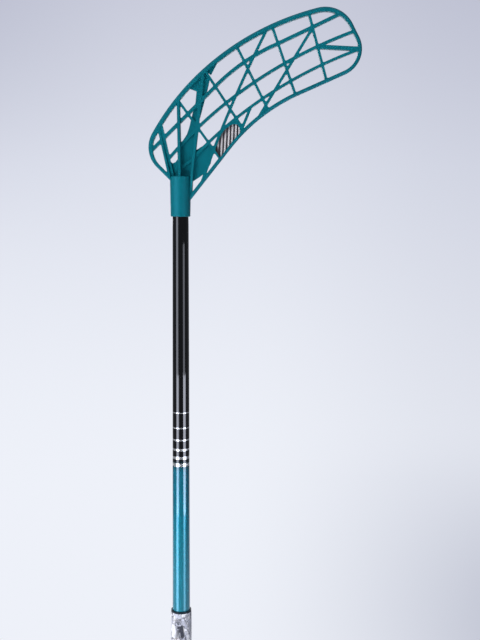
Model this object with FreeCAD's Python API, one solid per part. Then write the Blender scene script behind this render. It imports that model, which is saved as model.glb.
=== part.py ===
import FreeCAD, Part
import math
import os

# Floorball stick, in millimetres.
# The origin is the centre of the flat butt face. +Z runs up the shaft to the blade,
# +X points to the blade's toe, and -Y is the hollow side that the blade's hook bends to.

Vector = FreeCAD.Vector

# Shaft
shaft_grip_diameter = 22.6
shaft_blade_diameter = 20.2
shaft_wall = 1.5
bare_shaft_length = 507.0
shaft_depth_in_hosel = 45.0

# Grip
grip_length = 296.0
grip_diameter = 27.0
grip_tape_thickness = 0.4
grip_turns = 12
grip_steps_per_turn = 18
grip_seam_gap = 0.7
grip_lap = 0.3
layer_clearance = 0.05

# Collar at the upper end of the grip
collar_height = 2.4
collar_diameter = 26.0

# Cap in the lower end of the shaft
cap_flange_thickness = 4.0
cap_edge_chamfer = 1.2
cap_spigot_length = 24.0
cap_spigot_wall = 2.0
cap_spigot_clearance = 0.1

# Hosel: the blade's socket
hosel_length = 50.0
hosel_mouth_diameter = 24.6
hosel_rim_diameter = 26.4
hosel_lip = 0.8
glue_thickness = 0.5
glue_end_gap = 1.0

# Blade plan: the top edge leaves the hosel straight, bends along an arc and runs out straight to the toe.
# The sole bends about that arc's centre, and the blade's length runs along the sole from the shaft's axis.
top_root_drop = 31.3
top_run_length = 84.8
top_run_slope = 51.8
top_radius = 214.7
top_end_slope = 23.3
blade_height = 91.5
blade_length = 248.3
toe_lean = 27.6
toe_sole_corner_share = 0.42
toe_top_corner_share = 0.338
heel_corner = 34.4
heel_slope = 44.4
heel_drop = 6.1
hosel_bite = 1.4

# Blade section
heel_thickness = 10.0
toe_thickness = 7.6
hook_depth = 22.0
hook_length = 180.0
hook_start = 52.0
hook_middle_share = 0.37
hook_overrun = 60.0
edge_chamfer = 1.8
rib_recess = 0.9
web_thickness = 2.4

# Lattice
sole_frame_width = 5.3
frame_width = 3.9
frame_step = 0.5
sole_rib_width = 4.2
middle_rib_width = 3.7
top_rib_width = 3.4
cross_rib_width = 3.1
slant_rib_width = 3.4
toe_brace_width = 5.0
window_corner = 1.0
smallest_window = 5.0
longest_trim = 1.8
longest_trim_share = 0.4
smooth_angle = 160.0
corner_probe_share = 0.02
same_point = 0.001

# Carbon insert
insert_corner = 2.0
insert_thickness = 1.6
insert_lip = 1.0
insert_clearance = 0.1

# Fins that run from the hosel into the lattice
fin_ridge_width = 2.6
fin_foot_width = 5.6
fin_tip_width = 4.2
heel_fin_width = 7.2
heel_fin_lean = 2.2
fin_flush = 0.3
fin_root_share = -0.7

# Heights along the stick
grip_bottom = cap_flange_thickness
grip_top = grip_bottom + grip_length
collar_top = grip_top + collar_height
hosel_mouth = collar_top + bare_shaft_length
hosel_rim = hosel_mouth + hosel_length
shaft_top = hosel_mouth + shaft_depth_in_hosel

# Radii that neighbours share
shaft_grip_radius = shaft_grip_diameter / 2
shaft_blade_radius = shaft_blade_diameter / 2
hosel_bore_radius = shaft_blade_radius + glue_thickness
grip_radius = grip_diameter / 2
tape_inner_radius = shaft_grip_radius + layer_clearance
tape_outer_radius = tape_inner_radius + grip_tape_thickness

# Blade radii, and the centre of its sweep, measured from the hosel's rim
sole_radius = top_radius + blade_height
toe_sole_corner = toe_sole_corner_share * blade_height
toe_top_corner = toe_top_corner_share * blade_height
top_root_right = hosel_mouth_diameter / 2 - hosel_bite
run_angle = math.radians(top_run_slope)
centre_right = top_root_right + top_run_length * math.cos(run_angle) + top_radius * math.sin(run_angle)
centre_up = top_run_length * math.sin(run_angle) - top_root_drop - top_radius * math.cos(run_angle)
shaft_angle = math.asin(centre_right / sole_radius)


# Small helpers

def revolved(profile):
    """A solid of revolution about the shaft's axis from (radius, height) corners."""
    corners = [Vector(radius, 0, height) for radius, height in profile]
    face = Part.Face(Part.makePolygon(corners + corners[:1]))
    return face.revolve(Vector(0, 0, 0), Vector(0, 0, 1), 360)


def plan(right, up):
    """A point of the blade's plan, measured from the centre of the hosel's rim."""
    return Vector(right, 0, hosel_rim + up)


def along_angle(along):
    """The angle about the blade's centre at a share of its length."""
    return math.degrees(shaft_angle - along * blade_length / sole_radius)


def sweep(angle, depth):
    """A plan point by its angle about the blade's centre and its depth below the sole."""
    turn = math.radians(angle)
    radius = sole_radius - depth
    return plan(centre_right - radius * math.sin(turn), centre_up + radius * math.cos(turn))


def lattice(along, across):
    """A plan point by its shares of the blade's length, from the shaft, and height, from the sole."""
    return sweep(along_angle(along), across * blade_height)


def rounded_corner(centre, first, last):
    """The short arc about centre from first to last."""
    radius = (first - centre).Length
    middle = (first - centre) + (last - centre)
    return Part.Arc(first, centre + middle.normalize() * radius, last).toShape()


def polygon(corners):
    """A flat face through plan points."""
    return Part.Face(Part.makePolygon(list(corners) + [corners[0]]))


def plate(face, thickness):
    """A plan face as a plate of the given thickness about the blade's middle plane."""
    moved = face.translated(Vector(0, -thickness / 2, 0))
    return moved.extrude(Vector(0, thickness, 0))


def point_along(edge, start, distance):
    """The point of an edge at a distance from start, which is one of its ends."""
    if edge.valueAt(edge.FirstParameter).distanceToPoint(start) > same_point:
        distance = edge.Length - distance
    return edge.valueAt(edge.getParameterByLength(distance))


def corner_trim(before, after, corner, radius):
    """How far a corner's easing reaches along its two edges, which may be short ones."""
    shorter = min(before.Length, after.Length)
    first = point_along(before, corner, corner_probe_share * shorter) - corner
    last = point_along(after, corner, corner_probe_share * shorter) - corner
    opening = first.getAngle(last)
    if opening > math.radians(smooth_angle):
        return 0
    return min(radius / math.tan(opening / 2), longest_trim, longest_trim_share * shorter)


def eased(face, radius):
    """The face with its corners eased by short straight cuts."""
    edges = face.OuterWire.OrderedEdges
    corners = [vertex.Point for vertex in face.OuterWire.OrderedVertexes]
    trims = [corner_trim(edges[i - 1], edges[i], corners[i], radius) for i in range(len(edges))]
    starts = [point_along(edges[i], corners[i], trims[i]) for i in range(len(edges))]
    ends = [point_along(edges[i - 1], corners[i], trims[i]) for i in range(len(edges))]
    outline = []
    for i, edge in enumerate(edges):
        if trims[i] > 0:
            outline.append(Part.makeLine(ends[i], starts[i]))
        end = ends[(i + 1) % len(edges)]
        if edge.Curve.TypeId == "Part::GeomCircle":
            trim_before = trims[i]
            trim_after = trims[(i + 1) % len(edges)]
            halfway = (trim_before + edge.Length - trim_after) / 2
            outline.append(Part.Arc(starts[i], point_along(edge, corners[i], halfway), end).toShape())
        else:
            outline.append(Part.makeLine(starts[i], end))
    return Part.Face(Part.Wire(outline))


# Shaft, glue, grip, collar and cap

def make_shaft():
    grip_bore = shaft_grip_radius - shaft_wall
    blade_bore = shaft_blade_radius - shaft_wall
    return revolved([
        (grip_bore, grip_bottom),
        (shaft_grip_radius, grip_bottom),
        (shaft_grip_radius, collar_top),
        (shaft_blade_radius, hosel_mouth),
        (shaft_blade_radius, shaft_top),
        (blade_bore, shaft_top),
        (blade_bore, hosel_mouth),
        (grip_bore, collar_top),
    ])


def make_blade_adhesive():
    inner = shaft_blade_radius + layer_clearance
    outer = hosel_bore_radius - layer_clearance
    low = hosel_mouth + glue_end_gap
    high = shaft_top - glue_end_gap
    return revolved([(inner, low), (outer, low), (outer, high), (inner, high)])


def make_grip_tape():
    inner = tape_inner_radius
    outer = tape_outer_radius
    return revolved([(inner, grip_bottom), (outer, grip_bottom), (outer, grip_top), (inner, grip_top)])


def band_section(step):
    """The corners of the grip band's cross-section after a number of steps round the shaft."""
    turn = step / grip_steps_per_turn
    angle = 2 * math.pi * turn
    pitch = grip_length / grip_turns
    low = grip_bottom + pitch * turn
    high = low + pitch - grip_seam_gap
    inner = (tape_outer_radius + layer_clearance) / math.cos(math.pi / grip_steps_per_turn)
    outward = Vector(math.cos(angle), math.sin(angle), 0)
    ring = [(inner, low), (grip_radius, low), (grip_radius - grip_lap, high), (inner, high)]
    return [outward * radius + Vector(0, 0, height) for radius, height in ring]


def make_grip_wrap():
    """The wound band: one strip in a spiral, cut square at both ends of the grip."""
    one_turn = grip_steps_per_turn
    sections = [band_section(step) for step in range(-one_turn, one_turn * grip_turns + 1)]
    lower_turn = sections[:one_turn + 1]
    upper_turn = sections[one_turn:2 * one_turn + 1]
    for under, over in ((2, 1), (3, 0)):
        top_edge = Part.makePolygon([corners[under] for corners in lower_turn])
        bottom_edge = Part.makePolygon([corners[over] for corners in upper_turn])
        print("grip band: gap between turns", round(top_edge.distToShape(bottom_edge)[0], 3))
    band = Part.makeLoft([Part.makePolygon(corners + corners[:1]) for corners in sections], True, True)
    return band.common(Part.makeCylinder(grip_diameter, grip_length, Vector(0, 0, grip_bottom)))


def make_grip_collar():
    inner = shaft_grip_radius + layer_clearance
    outer = collar_diameter / 2
    return revolved([(inner, grip_top), (outer, grip_top), (outer, collar_top), (inner, collar_top)])


def make_butt_cap():
    spigot = shaft_grip_radius - shaft_wall - cap_spigot_clearance
    spigot_bore = spigot - cap_spigot_wall
    spigot_top = cap_flange_thickness + cap_spigot_length
    return revolved([
        (0, 0),
        (grip_radius - cap_edge_chamfer, 0),
        (grip_radius, cap_edge_chamfer),
        (grip_radius, cap_flange_thickness),
        (spigot, cap_flange_thickness),
        (spigot, spigot_top),
        (spigot_bore, spigot_top),
        (spigot_bore, cap_flange_thickness),
        (0, cap_flange_thickness),
    ])


# Blade

def tangent_centre(start, direction, centre, reach):
    """The point from start in a direction that lies at a distance, reach, from centre."""
    offset = start - centre
    along = offset.dot(direction)
    run = math.sqrt(along ** 2 - offset.dot(offset) + reach ** 2) - along
    return start + direction * run


def blade_outline(sole_inset, inset):
    """The blade's edge, moved in by sole_inset along the sole and by inset elsewhere."""
    centre = sweep(0, sole_radius)
    lean = math.radians(toe_lean)
    up_toe = Vector(-math.sin(lean), 0, math.cos(lean))
    past_toe = Vector(math.cos(lean), 0, math.sin(lean))
    toe_middle = lattice(1, 0.5)

    sole_corner_line = toe_middle - past_toe * toe_sole_corner
    sole_corner_reach = sole_radius - sole_inset - toe_sole_corner + inset
    sole_corner_centre = tangent_centre(sole_corner_line, up_toe, centre, sole_corner_reach)
    sole_start = centre + (sole_corner_centre - centre) * ((sole_radius - sole_inset) / sole_corner_reach)
    toe_high = sole_corner_centre + past_toe * (toe_sole_corner - inset)

    end_angle = math.radians(top_end_slope)
    along_top = Vector(math.cos(end_angle), 0, math.sin(end_angle))
    from_top = Vector(-math.sin(end_angle), 0, math.cos(end_angle))
    top_corner_line = sweep(top_end_slope, blade_height - toe_top_corner)
    to_toe = (toe_middle - top_corner_line).dot(past_toe) - toe_top_corner
    top_corner_centre = top_corner_line + along_top * (to_toe / along_top.dot(past_toe))
    top_bend = sweep(top_end_slope, blade_height - inset)
    top_start = top_corner_centre - from_top * (toe_top_corner - inset)
    toe_low = top_corner_centre + past_toe * (toe_top_corner - inset)

    slope = math.radians(heel_slope)
    along_heel = Vector(-math.cos(slope), 0, math.sin(slope))
    into_blade = Vector(math.sin(slope), 0, math.cos(slope))
    heel_root = plan(hosel_bite - hosel_rim_diameter / 2, -heel_drop)
    heel_reach = sole_radius - sole_inset - heel_corner + inset
    heel_centre = tangent_centre(heel_root + into_blade * heel_corner, along_heel, centre, heel_reach)
    heel_low = heel_centre - into_blade * (heel_corner - inset)
    heel_high = centre + (heel_centre - centre) * ((sole_radius - sole_inset) / heel_reach)

    top_root = plan(top_root_right, inset / math.cos(run_angle) - top_root_drop)
    top_end = sweep(top_run_slope, blade_height - inset)
    sole_middle = sweep(along_angle(hook_middle_share), sole_inset)
    top_middle = sweep((top_end_slope + top_run_slope) / 2, blade_height - inset)
    return Part.Face(Part.Wire([
        Part.Arc(sole_start, sole_middle, heel_high).toShape(),
        rounded_corner(heel_centre, heel_high, heel_low),
        Part.makeLine(heel_low, heel_root + into_blade * inset),
        Part.makeLine(heel_root + into_blade * inset, top_root),
        Part.makeLine(top_root, top_end),
        Part.Arc(top_end, top_middle, top_bend).toShape(),
        Part.makeLine(top_bend, top_start),
        rounded_corner(top_corner_centre, top_start, toe_low),
        Part.makeLine(toe_low, toe_high),
        rounded_corner(sole_corner_centre, toe_high, sole_start),
    ]))


def straight_strip(first, last, width):
    """A rib's plan between two points."""
    side = (last - first).cross(Vector(0, 1, 0)).normalize() * (width / 2)
    return polygon([first + side, last + side, last - side, first - side])


def bowed_strip(first, middle, last, width):
    """A rib's plan along the arc through three points."""
    circle = Part.Arc(first, middle, last).toShape().Curve
    centre = circle.Center
    grow = width / 2 / circle.Radius
    outer = [centre + (point - centre) * (1 + grow) for point in (first, middle, last)]
    inner = [centre + (point - centre) * (1 - grow) for point in (last, middle, first)]
    return Part.Face(Part.Wire([
        Part.Arc(*outer).toShape(),
        Part.makeLine(outer[2], inner[0]),
        Part.Arc(*inner).toShape(),
        Part.makeLine(inner[2], outer[0]),
    ]))


# Where the ribs run, as shares of the blade's length and height
cross_rib_soles = (0.750, 0.562, 0.363, 0.165, -0.032)
cross_rib_tops = (0.763, 0.530, 0.313, 0.093, -0.171)
bowed_ribs = (
    (sole_rib_width, ((0.525, 0.266), (0.343, 0.266), (0.160, 0.280))),
    (middle_rib_width, ((0.985, 0.366), (0.500, 0.549), (-0.330, 0.350))),
    (top_rib_width, ((0.985, 0.615), (0.500, 0.792), (-0.258, 0.643))),
    (slant_rib_width, ((0.749, 0.240), (0.509, 0.685), (0.215, 0.985))),
    (slant_rib_width, ((0.549, 0.000), (0.069, 0.688), (-0.370, 0.895))),
)
straight_ribs = (
    (sole_rib_width, ((0.911, 0.126), (0.512, 0.267))),
    (sole_rib_width, ((0.171, 0.280), (-0.324, 0.096))),
    (top_rib_width, ((-0.254, 0.650), (-0.347, 0.546))),
    (toe_brace_width, ((0.764, 0.492), (0.985, 0.607))),
    (slant_rib_width, ((0.229, 0.804), (0.090, 0.939))),
)
insert_outline = (
    (-0.159, 0.960),
    (-0.134, 0.838),
    (-0.078, 0.810),
    (-0.029, 0.780),
    (0.013, 0.777),
    (0.061, 0.797),
    (0.083, 0.825),
    (0.092, 0.870),
    (0.070, 0.960),
)

# Fins: feet on the hosel as shares of its radius, length and radius, tips on the sole,
# and waists, the shares of the way to the tip where a rib passes over the fin
fin_feet = (
    ((0.96, -0.52, 0.19), (1.08, 0.02, 0.67)),
    ((-0.05, -0.08, 0.94),),
    ((-0.80, -0.08, 0.55),),
)
fin_tips = ((0.150, 0.039), (-0.033, 0.042), (-0.194, 0.040))
fin_waists = ((0.45,), (), ())
fin_foot_widths = (fin_tip_width, fin_foot_width, heel_fin_width)
fin_tip_widths = (fin_tip_width, fin_tip_width, heel_fin_width)
fin_leans = (0, 0, heel_fin_lean)


def foot_point(right, up):
    """A point on the hosel by shares of its radius to the right and of its length above the rim."""
    return plan(right * hosel_rim_diameter / 2, up * hosel_length)


def fin_at(number, share):
    """The point of a fin's middle line at a share of the way from its foot to its tip."""
    right, up, half_depth = fin_feet[number][-1]
    foot = foot_point(right, up)
    return foot + (lattice(*fin_tips[number]) - foot) * share


def rib_strips():
    strips = []
    for sole, top in zip(cross_rib_soles, cross_rib_tops):
        strips.append(straight_strip(lattice(sole, 0), lattice(top, 1), cross_rib_width))
    for width, places in bowed_ribs:
        strips.append(bowed_strip(*[lattice(*place) for place in places], width))
    for width, places in straight_ribs:
        strips.append(straight_strip(*[lattice(*place) for place in places], width))
    for number, width in enumerate(fin_tip_widths):
        strips.append(straight_strip(fin_at(number, fin_root_share), fin_at(number, 1), width))
    return strips


def curved_slab(inset):
    """The space between the blade's two curved sides, each moved in by inset."""
    middle_angle = along_angle(hook_middle_share)
    turn = math.radians(middle_angle)
    along = Vector(math.cos(turn), 0, math.sin(turn))
    down = Vector(math.sin(turn), 0, -math.cos(turn))
    forward = Vector(0, -1, 0)
    start = sweep(middle_angle, 0) - along * hook_start - down * blade_height
    thinning = (heel_thickness - toe_thickness) / 2
    front_drop = hook_depth - thinning
    back_drop = hook_depth + thinning
    front_radius = (hook_length ** 2 + front_drop ** 2) / (2 * front_drop)
    back_radius = (hook_length ** 2 + back_drop ** 2) / (2 * back_drop)
    front_centre = start + forward * (heel_thickness / 2 + front_radius)
    back_centre = start + forward * (back_radius - heel_thickness / 2)
    reach = hook_length + hook_overrun

    def on_arc(centre, radius, travel):
        lean = math.asin(travel / radius)
        return centre + along * (radius * math.sin(lean)) - forward * (radius * math.cos(lean))

    front = [on_arc(front_centre, front_radius + inset, travel) for travel in (0, reach / 2, reach)]
    back = [on_arc(back_centre, back_radius - inset, travel) for travel in (reach, reach / 2, 0)]
    behind = along * (-2 * hook_length)
    section = Part.Wire([
        Part.makeLine(front[0] + behind, front[0]),
        Part.Arc(*front).toShape(),
        Part.makeLine(front[2], back[0]),
        Part.Arc(*back).toShape(),
        Part.makeLine(back[2], back[2] + behind),
        Part.makeLine(back[2] + behind, front[0] + behind),
    ])
    return Part.Face(section).extrude(down * (4 * blade_height))


def through(face):
    """A plan face run through the blade from front to back."""
    return plate(face, 4 * (hook_depth + heel_thickness))


def rim_edges(body):
    """The edges where the blade's front and back meet its outline."""
    edges = []
    for face in body.Faces:
        first_u, last_u, first_v, last_v = face.ParameterRange
        facing = face.normalAt((first_u + last_u) / 2, (first_v + last_v) / 2)
        if abs(facing.y) > same_point:
            edges += face.Edges
    return [edge for edge in edges if sum(edge.isSame(other) for other in edges) == 1]


def make_fin(number):
    """A fin with a narrow ridge on both sides and a foot that widens to the middle plane."""
    sections = []
    for right, up, half_depth in fin_feet[number]:
        sections.append((foot_point(right, up), half_depth * hosel_rim_diameter / 2, fin_foot_widths[number]))
    for share in fin_waists[number]:
        under_ribs = heel_thickness / 2 - rib_recess - fin_flush
        sections.append((fin_at(number, share), under_ribs, fin_tip_widths[number]))
    sections.append((fin_at(number, 1), heel_thickness / 2 - fin_flush, fin_tip_widths[number]))
    left = -fin_leans[number] - fin_ridge_width / 2
    right = -fin_leans[number] + fin_ridge_width / 2
    wires = []
    for centre, half_depth, width in sections:
        ring = [(left, -1), (right, -1), (width / 2, 0), (right, 1), (left, 1), (-width / 2, 0)]
        corners = [centre + Vector(side, level * half_depth, 0) for side, level in ring]
        wires.append(Part.makePolygon(corners + corners[:1]))
    return Part.makeLoft(wires, True, True)


def web_faces():
    """The closed skins between the fins, and the gussets that brace their tips."""
    big, middle, heel = range(3)
    return [
        polygon([
            fin_at(middle, 0.01),
            fin_at(middle, 0.46),
            lattice(-0.204, 0.405),
            lattice(-0.153, 0.407),
            lattice(-0.113, 0.380),
            lattice(-0.038, 0.300),
            lattice(0.012, 0.243),
            lattice(0.060, 0.151),
            lattice(0.045, 0.057),
            lattice(0.137, 0.045),
            fin_at(big, 0.82),
            fin_at(big, -0.03),
        ]),
        polygon([
            fin_at(heel, 0.015),
            fin_at(heel, 0.38),
            foot_point(-0.72, 0.32),
            foot_point(-0.46, 0.35),
            fin_at(middle, 0.29),
            fin_at(middle, 0.01),
        ]),
        polygon([
            fin_at(big, 0.24),
            lattice(-0.118, 0.707),
            lattice(-0.133, 0.816),
            lattice(-0.225, 0.886),
            lattice(-0.289, 0.890),
            lattice(-0.340, 0.840),
            fin_at(big, -0.07),
        ]),
        polygon([
            lattice(0.143, 0.045),
            lattice(0.172, 0.045),
            lattice(0.152, 0.165),
            lattice(0.107, 0.243),
            fin_at(big, 0.45),
        ]),
        polygon([lattice(0.165, 0.050), lattice(0.245, 0.050), lattice(0.172, 0.130)]),
    ]


def make_hosel():
    lip = hosel_lip
    mouth = hosel_mouth_diameter / 2
    rim = hosel_rim_diameter / 2
    return revolved([
        (0, hosel_mouth),
        (mouth - lip, hosel_mouth),
        (mouth, hosel_mouth + lip),
        (rim, hosel_rim - lip),
        (rim - lip, hosel_rim),
        (0, hosel_rim),
    ])


def insert_face():
    """The carbon insert's window, which follows the top edge along its lower side."""
    points = [lattice(*place) for place in insert_outline]
    last_along, across = insert_outline[0]
    first_along = insert_outline[-1][0]
    below = lattice((first_along + last_along) / 2, across)
    edges = [Part.makeLine(first, last) for first, last in zip(points, points[1:])]
    edges.append(Part.Arc(points[-1], below, points[0]).toShape())
    return eased(Part.Face(Part.Wire(edges)), insert_corner)


def make_blade_and_insert():
    body = through(blade_outline(0, 0)).common(curved_slab(0))
    body = body.makeChamfer(edge_chamfer, rim_edges(body))
    recess = through(blade_outline(sole_frame_width, frame_width)).cut(curved_slab(rib_recess))
    body = body.cut(recess)

    opening = insert_face()
    lattice_field = blade_outline(sole_frame_width + frame_step, frame_width + frame_step)
    cells = lattice_field.cut(rib_strips()).Faces
    middle = Part.Vertex(opening.CenterOfMass)
    windows = [opening]
    for cell in cells:
        if cell.Area > smallest_window and cell.distToShape(middle)[0] > 0:
            windows.append(eased(cell, window_corner))
    body = body.cut([through(window) for window in windows])

    added = [plate(face, web_thickness) for face in web_faces()]
    added += [make_fin(number) for number in range(len(fin_tips))]
    added.append(make_hosel())
    body = body.fuse(added)
    bore = Part.makeCylinder(hosel_bore_radius, shaft_depth_in_hosel, Vector(0, 0, hosel_mouth))
    groove_face = opening.makeOffset2D(insert_lip + insert_clearance)
    groove = plate(groove_face, insert_thickness + 2 * insert_clearance)
    body = body.cut([bore, groove]).removeSplitter()
    insert = plate(opening.makeOffset2D(insert_lip), insert_thickness)
    return body, insert


def main():
    os.makedirs("parts", exist_ok=True)
    blade, insert = make_blade_and_insert()
    pieces = {
        "blade": blade,
        "carbon_insert": insert,
        "blade_adhesive": make_blade_adhesive(),
        "shaft": make_shaft(),
        "grip_tape": make_grip_tape(),
        "grip_wrap": make_grip_wrap(),
        "grip_collar": make_grip_collar(),
        "butt_cap": make_butt_cap(),
    }
    for name, shape in pieces.items():
        print(name, len(shape.Solids), shape.isValid(), round(shape.Volume))
        shape.exportStep("parts/" + name + ".step")


main()
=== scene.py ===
import math

import bmesh
import bpy
from mathutils import Matrix, Vector


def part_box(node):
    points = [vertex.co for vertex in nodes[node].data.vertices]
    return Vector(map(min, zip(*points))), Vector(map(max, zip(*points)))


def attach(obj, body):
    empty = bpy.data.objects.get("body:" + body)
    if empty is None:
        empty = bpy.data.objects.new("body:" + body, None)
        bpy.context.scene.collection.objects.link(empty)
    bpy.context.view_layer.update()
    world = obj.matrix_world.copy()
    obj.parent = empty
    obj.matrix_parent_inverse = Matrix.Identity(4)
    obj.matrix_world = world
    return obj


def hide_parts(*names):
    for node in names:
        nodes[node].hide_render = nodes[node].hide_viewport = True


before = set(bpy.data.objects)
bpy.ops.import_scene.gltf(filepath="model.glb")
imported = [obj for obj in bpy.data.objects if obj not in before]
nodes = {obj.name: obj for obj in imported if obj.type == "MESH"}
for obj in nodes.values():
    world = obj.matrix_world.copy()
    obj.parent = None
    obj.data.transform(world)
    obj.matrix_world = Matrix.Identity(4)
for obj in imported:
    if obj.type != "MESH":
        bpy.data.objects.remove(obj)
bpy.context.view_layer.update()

# Photograph frame and camera, with lengths in metres unless the name says otherwise
IMAGE_HEIGHT_PIXELS = 640
FOCAL_PIXELS = 1020.0
SENSOR_HEIGHT_MM = 36.0
CAMERA_DISTANCE = 1.2815
CAMERA_RIGHT = 0.0748
CAMERA_PITCH = math.radians(5.77)
CAMERA_ROLL = math.radians(0.23)

# Heights read from the model, in metres above the butt face
GLUE_INSET = 0.001
HOSEL_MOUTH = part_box("blade_adhesive")[0].z - GLUE_INSET
GRIP_LOW, GRIP_HIGH = (corner.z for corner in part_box("grip_wrap"))
COLLAR_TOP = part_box("grip_collar")[1].z

# Heights that the shaft's finish changes at, in metres above the butt face
FLAKES_FULL = 0.40
FLAKES_FEW = 0.475
TEAL_END = 0.484
TEAL_DARKEST = 0.49
BLACK_START = 0.502
RING_PLACES = (0.495, 0.504, 0.5145, 0.527, 0.5425, 0.562)
RING_WIDTHS = (0.0042, 0.0034, 0.0026, 0.0019, 0.0013, 0.0009)
RING_SOFTNESS = 0.0002

# Wound grip band, with lengths in metres
GRIP_TURNS = 12
GRIP_STEPS = 64
GRIP_END_STEPS = 2
GRIP_RADIUS = 0.0135
GRIP_INNER = 0.01195
GRIP_SEAM = 0.0007
GRIP_LAP = 0.0003
GRIP_EDGE = 0.0005
GRIP_EDGE_STEPS = 3
GRIP_LEAST_EDGES = 3
GRIP_FACE_SHARES = (0.25, 0.5, 0.75)
GRIP_SHARP_ANGLE = math.radians(50)

# Unevenness of the band: depth, waves in a turn, and radians by which they shift per metre of height
RIPPLES = ((0.00005, 3, 140), (0.00004, 5, -260))

# Surroundings: the grey all round, the pale sky, the backdrop's shade and the even light
HORIZON = (0.17, 0.18, 0.205)
SKY = (0.72, 0.745, 0.84)
BLUE_SHADE = (0.0, 0.02, 0.16)
AMBIENT = (0.185, 0.195, 0.215)


# Node helpers

class Shader:
    """A material's node tree with short calls for the nodes that this scene uses."""

    def __init__(self, name):
        self.material = bpy.data.materials.new(name)
        self.material.use_nodes = True
        self.tree = self.material.node_tree
        self.tree.nodes.clear()
        self.output = self.node("ShaderNodeOutputMaterial")
        self.bsdf = self.node("ShaderNodeBsdfPrincipled")
        self.link(self.bsdf.outputs["BSDF"], self.output.inputs["Surface"])

    def link(self, source, target):
        self.tree.links.new(source, target)

    def put(self, socket, value):
        """Links a socket to another, or sets its own value."""
        if isinstance(value, bpy.types.NodeSocket):
            self.link(value, socket)
        else:
            socket.default_value = value

    def node(self, kind, **settings):
        made = self.tree.nodes.new(kind)
        for key, value in settings.items():
            setattr(made, key, value)
        return made

    def position(self):
        return self.node("ShaderNodeTexCoord").outputs["Object"]

    def parts(self, vector):
        split = self.node("ShaderNodeSeparateXYZ")
        self.link(vector, split.inputs[0])
        return split.outputs

    def vector(self, x, y, z):
        made = self.node("ShaderNodeCombineXYZ")
        for socket, value in zip(made.inputs, (x, y, z)):
            self.put(socket, value)
        return made.outputs[0]

    def math(self, operation, first, second=0.0, third=0.0):
        made = self.node("ShaderNodeMath", operation=operation)
        for socket, value in zip(made.inputs, (first, second, third)):
            self.put(socket, value)
        return made.outputs[0]

    def plus(self, first, second):
        return self.math("ADD", first, second)

    def minus(self, first, second):
        return self.math("SUBTRACT", first, second)

    def times(self, first, second):
        return self.math("MULTIPLY", first, second)

    def larger(self, first, second):
        return self.math("MAXIMUM", first, second)

    def rest(self, share):
        """What a share leaves of 1."""
        return self.minus(1.0, share)

    def wave(self, kind, angle):
        """A sine or cosine that runs from 0 to 1."""
        return self.plus(self.times(self.math(kind, angle), 0.5), 0.5)

    def smooth(self, value, low, high):
        """0 below low, 1 above high, and smooth between them."""
        made = self.node("ShaderNodeMapRange", interpolation_type="SMOOTHSTEP")
        self.put(made.inputs["Value"], value)
        made.inputs["From Min"].default_value = low
        made.inputs["From Max"].default_value = high
        return made.outputs["Result"]

    def span(self, value, low, high):
        """A linear map from 0..1 to low..high."""
        made = self.node("ShaderNodeMapRange")
        self.put(made.inputs["Value"], value)
        made.inputs["To Min"].default_value = low
        made.inputs["To Max"].default_value = high
        return made.outputs["Result"]

    def noise_outputs(self, vector, scale, detail, roughness=0.5, distortion=0.0):
        made = self.node("ShaderNodeTexNoise")
        self.link(vector, made.inputs["Vector"])
        made.inputs["Scale"].default_value = scale
        made.inputs["Detail"].default_value = detail
        made.inputs["Roughness"].default_value = roughness
        made.inputs["Distortion"].default_value = distortion
        return made.outputs

    def noise(self, vector, scale, detail, **settings):
        """Noise as one number."""
        return self.noise_outputs(vector, scale, detail, **settings)["Fac"]

    def ramp(self, value, stops):
        made = self.node("ShaderNodeValToRGB")
        self.put(made.inputs[0], value)
        elements = made.color_ramp.elements
        while len(elements) < len(stops):
            elements.new(0.5)
        for element, (place, colour) in zip(elements, stops):
            element.position = place
            element.color = (*colour, 1.0)
        return made.outputs["Color"]

    def mix(self, factor, first, second):
        """The first colour at a factor of 0, the second at 1."""
        made = self.node("ShaderNodeMix", data_type="RGBA")
        sockets = [socket for socket in made.inputs if socket.enabled]
        self.put(sockets[0], factor)
        for socket, value in zip(sockets[1:], (first, second)):
            self.put(socket, value if isinstance(value, bpy.types.NodeSocket) else (*value, 1.0))
        return [socket for socket in made.outputs if socket.enabled][0]

    def bump(self, height, distance, strength):
        made = self.node("ShaderNodeBump")
        self.link(height, made.inputs["Height"])
        made.inputs["Distance"].default_value = distance
        made.inputs["Strength"].default_value = strength
        return made.outputs["Normal"]

    def seen(self):
        """1 for what the camera sees, directly, in gloss or through glass, and 0 for other light."""
        path = self.node("ShaderNodeLightPath").outputs
        direct = self.larger(path["Is Camera Ray"], path["Is Glossy Ray"])
        return self.larger(direct, path["Is Transmission Ray"])

    def set(self, **values):
        """Fills the surface shader's sockets, which are named with _ for a space."""
        for key, value in values.items():
            socket = self.bsdf.inputs[key.replace("_", " ")]
            if isinstance(value, tuple):
                value = (*value, 1.0)
            self.put(socket, value)
        return self.material


class WorldShader(Shader):
    """The same calls for the world's node tree."""

    def __init__(self, world):
        world.use_nodes = True
        self.tree = world.node_tree
        self.tree.nodes.clear()
        self.output = self.node("ShaderNodeOutputWorld")

    def direction(self):
        return self.node("ShaderNodeTexCoord").outputs["Generated"]


def dress(name, material):
    """Gives a CAD node its finished material."""
    mesh = nodes[name].data
    mesh.materials.clear()
    mesh.materials.append(material)


def add_to_scene(obj):
    bpy.context.scene.collection.objects.link(obj)


# Materials

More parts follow.
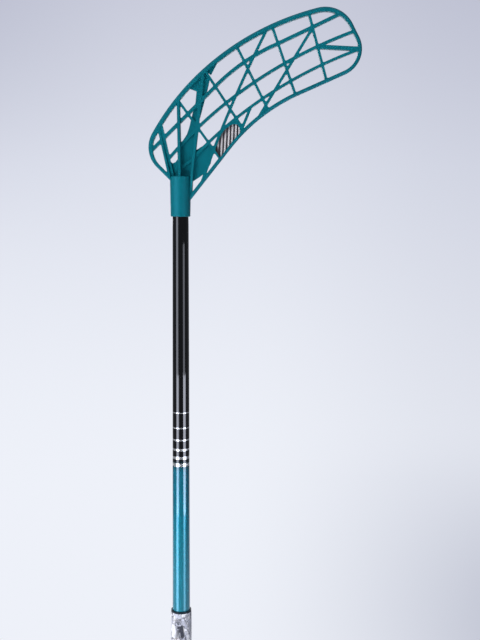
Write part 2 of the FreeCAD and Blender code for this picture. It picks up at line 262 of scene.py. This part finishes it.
def blade_plastic():
    """Moulded teal plastic: satin, with a fine grain and faint flow marks."""
    deep_teal = (0.001, 0.127, 0.164)
    teal = (0.001, 0.149, 0.192)
    flow_teal = (0.002, 0.173, 0.221)
    grain_share = 0.06
    shader = Shader("blade_plastic")
    place = shader.position()
    cloud = shader.noise(place, scale=14.0, detail=3.0)
    flow = shader.noise(place, scale=55.0, detail=5.0, distortion=0.6)
    grain = shader.noise(place, scale=2600.0, detail=2.0)
    base = shader.ramp(cloud, [(0.30, deep_teal), (0.70, teal)])
    height = shader.plus(shader.times(grain, grain_share), flow)
    return shader.set(
        Base_Color=shader.mix(shader.span(flow, low=0.0, high=0.25), base, flow_teal),
        Roughness=shader.span(flow, low=0.40, high=0.52),
        Normal=shader.bump(height, distance=0.00006, strength=0.15),
        Specular_IOR_Level=0.50,
        Specular_Tint=(0.15, 0.62, 0.95),
    )


def woven_composite():
    """Twill weave under a clear coat: slanted silver and black strands, with painted shadow at two margins.
    """
    lean = math.radians(2.5)
    strand_pitch = 0.0042
    bead_pitch = 0.0026
    first_strand = 0.01184
    fibre_stretch = 6.0
    margin_x, margin_z = (-0.766, 0.643)
    # How dark the painted shadow gets at the upper left margin and in the lower corner
    margin_shadow_depth = 0.75
    corner_shadow_depth = 0.9
    cross_height = 0.5
    shader = Shader("woven_composite")
    x, y, z = shader.parts(shader.position())

    # The strands lean, so they are laid out across and along their own direction
    across = shader.minus(shader.times(x, math.cos(lean)), shader.times(z, math.sin(lean)))
    along = shader.plus(shader.times(x, math.sin(lean)), shader.times(z, math.cos(lean)))
    column = shader.times(shader.minus(across, first_strand), 2 * math.pi / strand_pitch)
    row = shader.times(along, 2 * math.pi / bead_pitch)
    strand = shader.wave("COSINE", column)
    cross = shader.wave("SINE", shader.plus(row, column))
    stretched = shader.vector(shader.times(across, fibre_stretch), y, along)
    fibre = shader.noise(stretched, scale=1500.0, detail=2.0)
    light = shader.times(shader.smooth(strand, low=0.38, high=0.68), shader.span(cross, low=0.66, high=1.0))

    # Painted shadow of the window's rim along the upper left edge and in the lower corner: the silver
    # strands turn dark there
    outward = shader.plus(shader.times(z, margin_z), shader.times(x, margin_x))
    margin_shadow = shader.times(shader.smooth(outward, low=0.5400, high=0.5465), margin_shadow_depth)
    corner = shader.rest(shader.smooth(x, low=0.0488, high=0.0504))
    corner_shadow_strength = shader.span(shader.smooth(z, low=0.8925, high=0.8990), low=corner_shadow_depth, high=0.0)
    painted_shadow = shader.larger(margin_shadow, shader.times(corner, corner_shadow_strength))
    light = shader.times(light, shader.rest(painted_shadow))

    silver = shader.mix(fibre, (0.78, 0.75, 0.79), (0.97, 0.94, 0.98))
    dark = shader.mix(cross, (0.006, 0.005, 0.008), (0.050, 0.042, 0.054))
    height = shader.plus(strand, shader.times(cross, cross_height))
    return shader.set(
        Base_Color=shader.mix(light, dark, silver),
        Metallic=0.05,
        Roughness=shader.span(fibre, low=0.28, high=0.42),
        Coat_Weight=0.35,
        Coat_Roughness=0.12,
        Normal=shader.bump(height, distance=0.0002, strength=0.6),
    )


def ring_pattern(shader, z):
    """1 on the silver rings and 0 between them."""
    rings = 0.0
    for centre, width in zip(RING_PLACES, RING_WIDTHS):
        away = shader.math("ABSOLUTE", shader.minus(z, centre))
        inside = width / 2 - RING_SOFTNESS
        outside = width / 2 + RING_SOFTNESS
        rings = shader.larger(rings, shader.rest(shader.smooth(away, low=inside, high=outside)))
    return rings


def lacquered_composite():
    """Gloss black that turns to metallic teal, with silver rings where the two meet."""
    low_teal = (0.002, 0.185, 0.272)
    middle_teal = (0.002, 0.200, 0.290)
    top_teal = (0.002, 0.122, 0.195)
    flake_teal = (0.04, 0.42, 0.52)
    ring_metal = 0.8
    shader = Shader("lacquered_composite")
    place = shader.position()
    z = shader.parts(place)["Z"]
    flake = shader.noise(place, scale=5200.0, detail=1.0)
    waver = shader.noise(place, scale=30.0, detail=3.0)
    meeting = shader.plus(z, shader.span(waver, low=-0.002, high=0.002))
    teal_share = shader.rest(shader.smooth(meeting, low=TEAL_END, high=BLACK_START))
    depth = shader.smooth(z, low=COLLAR_TOP, high=TEAL_DARKEST)
    teal = shader.ramp(depth, [(0.0, low_teal), (0.55, middle_teal), (1.0, top_teal)])
    teal = shader.mix(shader.span(flake, low=0.0, high=0.07), teal, flake_teal)
    black = shader.mix(waver, (0.0006, 0.0006, 0.0009), (0.0016, 0.0016, 0.0022))
    silver = shader.mix(flake, (0.46, 0.48, 0.50), (0.70, 0.72, 0.74))
    ring_share = ring_pattern(shader, z)
    lacquer = shader.mix(teal_share, black, teal)
    flakes = shader.span(shader.smooth(z, low=FLAKES_FULL, high=FLAKES_FEW), low=0.36, high=0.14)
    metal = shader.larger(shader.times(teal_share, flakes), shader.times(ring_share, ring_metal))
    return shader.set(
        Base_Color=shader.mix(ring_share, lacquer, silver),
        Metallic=metal,
        Roughness=shader.span(flake, low=0.15, high=0.20),
        Specular_IOR_Level=0.0,
        Coat_Weight=1.0,
        Coat_Roughness=0.05,
        Normal=shader.bump(waver, distance=0.00008, strength=0.25),
    )


def grip_band():
    """Soft band with a marbled print in white, silver and black."""
    shadow_grey = (0.30, 0.32, 0.42)
    silver_grey = (0.58, 0.60, 0.72)
    near_white = (0.86, 0.87, 0.95)
    ink = (0.016, 0.018, 0.032)
    length_stretch = 0.45
    warp_share = 0.022
    vein_middle = 0.5
    shader = Shader("grip_band")
    place = shader.position()
    x, y, z = shader.parts(place)
    stretched = shader.vector(x, y, shader.times(z, length_stretch))
    warp = shader.noise_outputs(stretched, scale=70.0, detail=3.0)["Color"]
    warped = shader.node("ShaderNodeMixRGB", blend_type="ADD")
    warped.inputs["Fac"].default_value = warp_share
    shader.link(stretched, warped.inputs["Color1"])
    shader.link(warp, warped.inputs["Color2"])
    vein = shader.noise(warped.outputs["Color"], scale=95.0, detail=6.0, roughness=0.62, distortion=1.4)
    patch = shader.noise(stretched, scale=42.0, detail=2.0)
    line = shader.math("ABSOLUTE", shader.minus(vein, vein_middle))
    dark_line = shader.rest(shader.smooth(line, low=0.006, high=0.034))
    dark_patch = shader.smooth(patch, low=0.56, high=0.66)
    dark_patch = shader.times(dark_patch, shader.smooth(vein, low=0.38, high=0.52))
    dark = shader.larger(dark_line, dark_patch)
    pale = shader.ramp(vein, [(0.32, shadow_grey), (0.47, silver_grey), (0.60, near_white)])
    pores = shader.noise(place, scale=1900.0, detail=3.0)
    return shader.set(
        Base_Color=shader.mix(dark, pale, ink),
        Roughness=shader.span(pores, low=0.42, high=0.60),
        Sheen_Weight=0.12,
        Sheen_Roughness=0.5,
        Normal=shader.bump(pores, distance=0.00018, strength=0.5),
    )


def dark_band():
    """Matt dark finishing band."""
    shader = Shader("dark_band")
    grain = shader.noise(shader.position(), scale=1400.0, detail=3.0)
    return shader.set(
        Base_Color=shader.mix(grain, (0.001, 0.006, 0.012), (0.003, 0.014, 0.024)),
        Specular_IOR_Level=0.2,
        Roughness=shader.span(grain, low=0.40, high=0.58),
        Normal=shader.bump(grain, distance=0.0001, strength=0.4),
    )


def cap_rubber():
    """Matt black rubber with a fine grain and paler scuffs."""
    shader = Shader("cap_rubber")
    place = shader.position()
    grain = shader.noise(place, scale=900.0, detail=4.0)
    scuff = shader.noise(place, scale=120.0, detail=5.0)
    worn = shader.smooth(scuff, low=0.45, high=0.75)
    return shader.set(
        Base_Color=shader.mix(worn, (0.012, 0.012, 0.014), (0.032, 0.032, 0.035)),
        Roughness=shader.span(scuff, low=0.62, high=0.82),
        Normal=shader.bump(grain, distance=0.0002, strength=0.6),
    )


def set_glue():
    """Amber hot-melt glue."""
    shader = Shader("glue")
    cloud = shader.noise(shader.position(), scale=160.0, detail=4.0)
    return shader.set(
        Base_Color=shader.mix(cloud, (0.55, 0.44, 0.24), (0.70, 0.62, 0.42)),
        Roughness=shader.span(cloud, low=0.30, high=0.46),
        Normal=shader.bump(cloud, distance=0.0003, strength=0.5),
    )


def adhesive_tape():
    """Crepe tape under the grip, with its creases round the shaft."""
    crease_squeeze = 6.0
    shader = Shader("adhesive_tape")
    x, y, z = shader.parts(shader.position())
    squeezed = shader.vector(x, y, shader.times(z, crease_squeeze))
    crepe = shader.noise(squeezed, scale=700.0, detail=3.0)
    return shader.set(
        Base_Color=shader.mix(crepe, (0.62, 0.59, 0.50), (0.74, 0.72, 0.64)),
        Roughness=shader.span(crepe, low=0.6, high=0.8),
        Normal=shader.bump(crepe, distance=0.0002, strength=0.5),
    )


# Wound grip band: one strip in a spiral, with soft edges and a slight lap

def ripple(angle, height):
    """Slight unevenness of the hand-wound band."""
    return sum(depth * math.sin(waves * angle + shift * height) for depth, waves, shift in RIPPLES)


def band_profile(low, high):
    """The band's cross-section between two heights, as pairs of radius and height."""
    edge = min(GRIP_EDGE, (high - low) / GRIP_LEAST_EDGES)
    bends = [math.pi / 2 * place / GRIP_EDGE_STEPS for place in range(GRIP_EDGE_STEPS + 1)]
    profile = [(GRIP_INNER, low)]
    for bend in bends:
        radius = GRIP_RADIUS - GRIP_EDGE * (1 - math.sin(bend))
        profile.append((radius, low + edge * (1 - math.cos(bend))))
    for share in GRIP_FACE_SHARES:
        profile.append((GRIP_RADIUS - GRIP_LAP * share, low + (high - low) * share))
    for bend in bends:
        radius = GRIP_RADIUS - GRIP_LAP - GRIP_EDGE * (1 - math.cos(bend))
        profile.append((radius, high - edge * (1 - math.sin(bend))))
    profile.append((GRIP_INNER, high))
    return profile


def band_ring(step):
    """The band's cross-section, as points, after a number of steps from the first full turn."""
    turn = step / GRIP_STEPS
    angle = 2 * math.pi * turn
    pitch = (GRIP_HIGH - GRIP_LOW) / GRIP_TURNS
    start = GRIP_LOW + pitch * turn
    low = min(max(start, GRIP_LOW), GRIP_HIGH)
    high = max(min(start + pitch - GRIP_SEAM, GRIP_HIGH), GRIP_LOW)
    profile = band_profile(low, high)
    ring = []
    for number, (radius, height) in enumerate(profile):
        if 0 < number < len(profile) - 1:
            radius = min(radius + ripple(angle, height), GRIP_RADIUS)
        ring.append(Vector((radius * math.cos(angle), radius * math.sin(angle), height)))
    return ring


def make_grip():
    """Builds the wound band in place of the CAD node."""
    mesh = bmesh.new()
    first = -GRIP_STEPS + GRIP_END_STEPS
    last = GRIP_TURNS * GRIP_STEPS - GRIP_END_STEPS
    rings = [[mesh.verts.new(point) for point in band_ring(step)] for step in range(first, last + 1)]
    for ring, following in zip(rings, rings[1:]):
        for place in range(len(ring)):
            after = (place + 1) % len(ring)
            mesh.faces.new((ring[place], following[place], following[after], ring[after]))
    mesh.faces.new(rings[0])
    mesh.faces.new(list(reversed(rings[-1])))
    bmesh.ops.recalc_face_normals(mesh, faces=mesh.faces)
    data = bpy.data.meshes.new("grip_band_wound")
    mesh.to_mesh(data)
    mesh.free()
    data.polygons.foreach_set("use_smooth", [True] * len(data.polygons))
    data.set_sharp_from_angle(angle=GRIP_SHARP_ANGLE)
    data.materials.append(grip_band())
    grip = bpy.data.objects.new("grip_band_wound", data)
    add_to_scene(grip)
    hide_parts("grip_wrap")
    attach(grip, "root")


# Dress the CAD nodes and add the grip

dress("blade", blade_plastic())
dress("carbon_insert", woven_composite())
dress("shaft", lacquered_composite())
dress("blade_adhesive", set_glue())
dress("grip_tape", adhesive_tape())
dress("grip_collar", dark_band())
dress("butt_cap", cap_rubber())
make_grip()


# Stage: a floor that bends up into a far wall, pale where the photograph's background is, grey elsewhere

def sweep_mesh():
    """A floor with a wide bend up into a wall."""
    half_width = 12.0
    front = -12.0
    wall = 8.0
    bend = 3.0
    top = 9.0
    steps = 24
    profile = [(front, 0.0), (wall - bend, 0.0)]
    for step in range(1, steps + 1):
        turn = math.pi / 2 * step / steps
        profile.append((wall - bend + bend * math.sin(turn), bend * (1 - math.cos(turn))))
    profile.append((wall, top))
    mesh = bmesh.new()
    left = [mesh.verts.new((-half_width, y, z)) for y, z in profile]
    right = [mesh.verts.new((half_width, y, z)) for y, z in profile]
    for place in range(len(profile) - 1):
        mesh.faces.new((left[place], right[place], right[place + 1], left[place + 1]))
    data = bpy.data.meshes.new("backdrop")
    mesh.to_mesh(data)
    mesh.free()
    data.polygons.foreach_set("use_smooth", [True] * len(data.polygons))
    return data


def backdrop_colour(shader, x, y, z):
    """The backdrop's fixed colours, with painted shade: paler below and darker higher up, painted blue
    shade at the sides, and grey far aside and in front.
    """
    low_white = (0.855, 0.880, 0.947)
    middle_white = (0.720, 0.745, 0.840)
    high_grey = (0.525, 0.540, 0.654)
    least_depth = 0.3
    usual_depth = 3.1
    right_shade = 0.12
    near_shade = 0.40
    left_shade = 0.15

    # Height and place across are scaled by the distance from one fixed point before the stick
    depth = shader.larger(shader.plus(y, CAMERA_DISTANCE), least_depth)
    climb = shader.math("DIVIDE", shader.minus(z, HOSEL_MOUTH), depth)
    fall = shader.times(climb, -1.0)
    shrink = shader.math("MINIMUM", shader.math("DIVIDE", usual_depth, depth), 1.0)
    place = shader.math("MULTIPLY_ADD", shader.minus(x, CAMERA_RIGHT), shrink, CAMERA_RIGHT)

    rise = shader.smooth(climb, low=-0.28, high=0.38)
    colour = shader.ramp(rise, [(0.0, low_white), (0.5, middle_white), (1.0, high_grey)])
    near = shader.times(shader.smooth(fall, low=0.2, high=0.45), shader.smooth(y, low=0.2, high=0.6))
    right = shader.smooth(place, low=0.0, high=0.9)
    right = shader.times(right, shader.math("MULTIPLY_ADD", near, near_shade, right_shade))
    left = shader.smooth(shader.times(place, -1.0), low=0.1, high=0.9)
    left = shader.times(left, shader.smooth(climb, low=-0.066, high=0.217))
    # Painted blue shade: at the right, stronger low down near the wall, and at the upper left
    colour = shader.mix(right, colour, BLUE_SHADE)
    colour = shader.mix(shader.times(left, left_shade), colour, BLUE_SHADE)
    aside = shader.smooth(shader.math("ABSOLUTE", place), low=0.8, high=1.5)
    ahead = shader.smooth(shader.times(y, -1.0), low=0.3, high=1.6)
    return shader.mix(shader.larger(aside, ahead), colour, HORIZON)


def backdrop_material():
    """Shows its own colour as it is, and takes the lamps' light and the shadow round the stick's foot."""
    shader = Shader("backdrop")
    shader.set(Base_Color=(0.90, 0.905, 0.92), Roughness=0.9, Specular_IOR_Level=0.0)
    x, y, z = shader.parts(shader.position())
    glow = shader.node("ShaderNodeEmission")
    shader.link(backdrop_colour(shader, x, y, z), glow.inputs["Color"])
    reach = shader.math("SQRT", shader.plus(shader.times(x, x), shader.times(y, y)))
    own_share = shader.span(shader.smooth(reach, low=0.03, high=0.26), low=0.35, high=1.0)
    mixed = shader.node("ShaderNodeMixShader")
    shader.link(shader.times(shader.seen(), own_share), mixed.inputs[0])
    shader.link(shader.bsdf.outputs["BSDF"], mixed.inputs[1])
    shader.link(glow.outputs[0], mixed.inputs[2])
    shader.link(mixed.outputs[0], shader.output.inputs["Surface"])
    return shader.material


backdrop = bpy.data.objects.new("backdrop", sweep_mesh())
add_to_scene(backdrop)
backdrop.data.materials.append(backdrop_material())


# Studio light: strips that only show in gloss, as reflecting cards do, and softboxes

def softbox(name, place, target, size, power, lights=True, mirrors=True, colour=(1.0, 0.99, 0.98)):
    """A soft rectangular lamp; lights and mirrors say whether it lights surfaces and shows in gloss."""
    lamp = bpy.data.lights.new(name, "AREA")
    lamp.shape = "RECTANGLE"
    lamp.size, lamp.size_y = size
    lamp.energy = power
    lamp.color = colour
    obj = bpy.data.objects.new(name, lamp)
    obj.location = place
    obj.rotation_euler = (Vector(target) - Vector(place)).to_track_quat("-Z", "Y").to_euler()
    obj.visible_camera = False
    obj.visible_diffuse = lights
    obj.visible_glossy = mirrors
    add_to_scene(obj)


def strip(name, x, y, z, size, power):
    """A bluish card beside the shaft that faces it and shows only in its gloss."""
    softbox(name, (x, y, z), (0.0, 0.0, z), size, power, lights=False, colour=(0.82, 0.86, 1.0))


BLADE_MIDDLE = (0.08, 0.0, 1.00)
SHAFT_MIDDLE = (0.05, 0.0, 0.75)
GRIP_TOP = (0.0, 0.0, 0.28)
strip("left_strip", x=-0.37, y=-0.335, z=0.465, size=(0.27, 0.73), power=2.93)
strip("left_core", x=-0.321, y=-0.383, z=0.41, size=(0.287, 0.25), power=1.25)
strip("right_strip", x=0.37, y=-0.335, z=0.4325, size=(0.23, 0.665), power=1.45)
strip("right_core", x=0.402, y=-0.297, z=0.41, size=(0.335, 0.25), power=1.95)
softbox("front_fill", (-0.40, -0.80, 0.17), GRIP_TOP, size=(0.50, 0.25), power=5.8, mirrors=False)
softbox("left_key", (-0.95, -0.90, 1.30), BLADE_MIDDLE, size=(1.05, 0.90), power=10.6)
softbox("right_fill", (1.00, -1.00, 1.25), BLADE_MIDDLE, size=(0.90, 0.80), power=2.6)
softbox("back_fill", (0.0, 1.55, 1.30), SHAFT_MIDDLE, size=(1.10, 1.10), power=9.0)


def light_world(world):
    """A weak even light from all round, seen as a grey horizon under a pale sky."""
    shader = WorldShader(world)
    height = shader.parts(shader.direction())["Z"]
    sky = shader.mix(shader.smooth(height, low=0.30, high=0.75), HORIZON, SKY)
    background = shader.node("ShaderNodeBackground")
    shader.link(shader.mix(shader.seen(), AMBIENT, sky), background.inputs["Color"])
    shader.link(background.outputs[0], shader.output.inputs["Surface"])


world = bpy.data.worlds.new("studio")
bpy.context.scene.world = world
light_world(world)


# Camera

camera_data = bpy.data.cameras.new("camera")
camera_data.sensor_fit = "VERTICAL"
camera_data.sensor_height = SENSOR_HEIGHT_MM
camera_data.lens = FOCAL_PIXELS / IMAGE_HEIGHT_PIXELS * SENSOR_HEIGHT_MM
camera = bpy.data.objects.new("camera", camera_data)
add_to_scene(camera)
look = Matrix.Rotation(math.pi / 2 - CAMERA_PITCH, 4, "X") @ Matrix.Rotation(CAMERA_ROLL, 4, "Z")
camera.matrix_world = Matrix.Translation((CAMERA_RIGHT, -CAMERA_DISTANCE, HOSEL_MOUTH)) @ look
bpy.context.scene.camera = camera

bpy.context.scene.view_settings.view_transform = "Standard"
